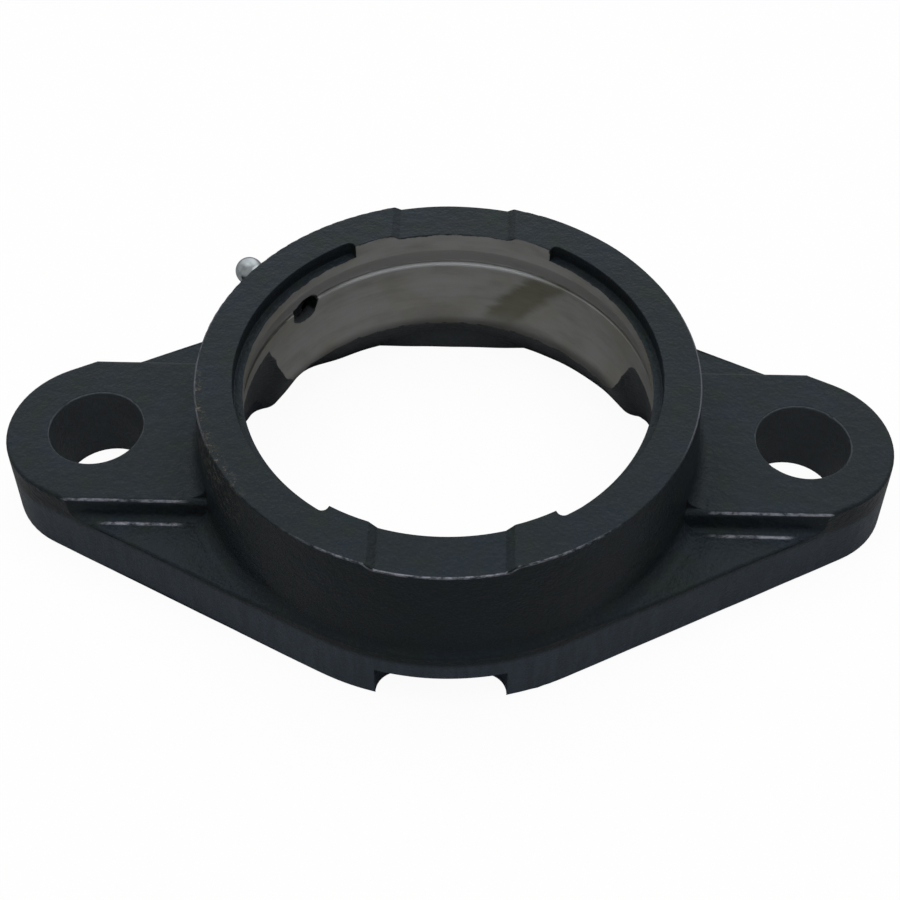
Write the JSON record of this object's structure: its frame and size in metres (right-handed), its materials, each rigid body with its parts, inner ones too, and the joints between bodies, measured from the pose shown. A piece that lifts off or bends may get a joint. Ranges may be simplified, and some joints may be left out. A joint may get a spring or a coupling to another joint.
{
  "type": "two-bolt flanged bearing housing",
  "caption": "Cast two-bolt flanged housing with a spherical seat for an insert bearing, loading slots and a ball-headed grease nipple.",
  "frame": {"origin": "on the bore axis, in the plane of the mounting face, midway between the bolt holes", "axes": "+Z along the bore axis, away from the mounting face; +X through the bolt holes, the grease nipple lies on the -X side; +Y away from the picture's camera"},
  "size_m": [0.1867, 0.1066, 0.0385],
  "materials": {
    "painted_casting": "semi-gloss charcoal paint, bare turned seat",
    "zinc_plated_steel": "bright zinc plating",
    "bearing_steel": "polished",
    "spring_steel": "drawn wire"
  },
  "bodies": {
    "housing": {"flange_housing": "painted_casting", "grease_nipple_body": "zinc_plated_steel", "nipple_spring": "spring_steel"},
    "check_ball": {"nipple_check_ball": "bearing_steel"}
  },
  "joints": [
    {"name": "check_ball_slide", "type": "slide", "parent": "housing", "child": "check_ball", "axis": [0.7547, -0.6561, 0], "range_m": [0, 0.0008], "stiffness_N_per_m": 120, "springref_m": -0.001, "deforming": ["nipple_spring"]}
  ]
}
